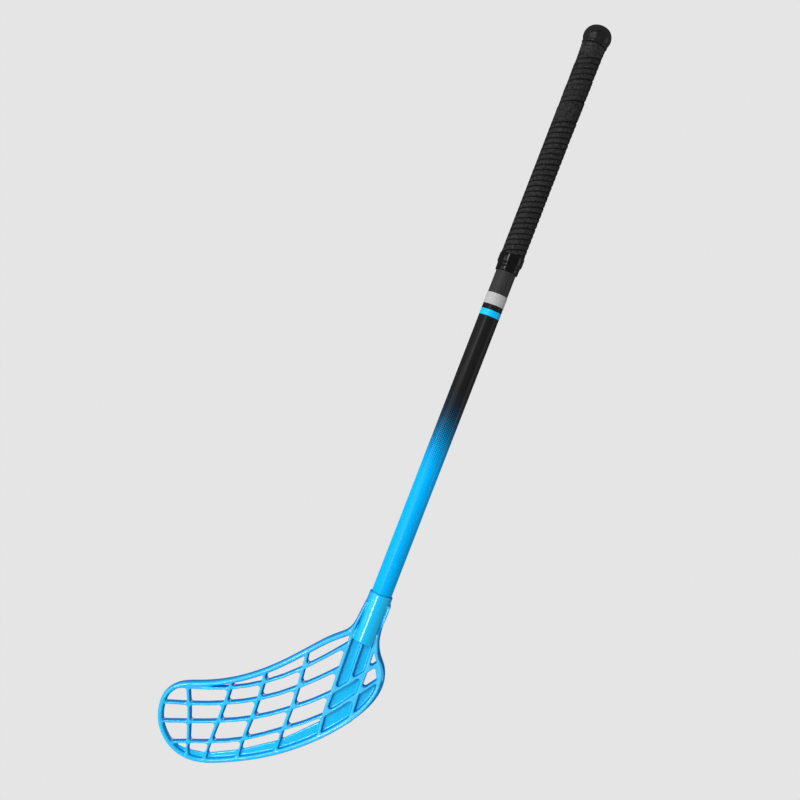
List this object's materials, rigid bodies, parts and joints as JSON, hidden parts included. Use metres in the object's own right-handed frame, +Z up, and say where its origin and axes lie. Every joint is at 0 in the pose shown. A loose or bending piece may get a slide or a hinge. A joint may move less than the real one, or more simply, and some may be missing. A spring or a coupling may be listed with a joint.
{
  "type": "floorball stick",
  "caption": "Floorball stick: slim composite shaft with a hooked lattice blade, a wound ribbed grip and a rounded butt cap.",
  "frame": {"origin": "on the shaft axis, level with the mouth of the blade's socket", "axes": "+Z up the shaft axis towards the butt, -X towards the blade's toe, -Y towards the blade's hollow face"},
  "size_m": [0.2229, 0.0313, 0.8928],
  "materials": {
    "blade_plastic": "satin moulded plastic, bright sky blue",
    "screw_steel": "bright zinc-plated steel",
    "glue": "translucent hot-melt glue",
    "shaft_composite": "charcoal lacquered composite",
    "shaft_print": "printed film, bright blue fading to black",
    "label_blue": "plain blue sticker",
    "label_grey": "plain grey sticker",
    "tape_gloss": "glossy black tape",
    "grip_band": "matte black foamed grip band with ribs",
    "cap_rubber": "matte black rubber"
  },
  "bodies": {
    "root": {"blade": "blade_plastic", "blade_screws": "screw_steel", "blade_glue": "glue", "shaft_tube": "shaft_composite", "shaft_film": "shaft_print", "size_label": "label_blue", "rating_label": "label_grey", "finishing_tape": "tape_gloss", "grip_wrap": "grip_band", "butt_cap": "cap_rubber"}
  },
  "joints": []
}
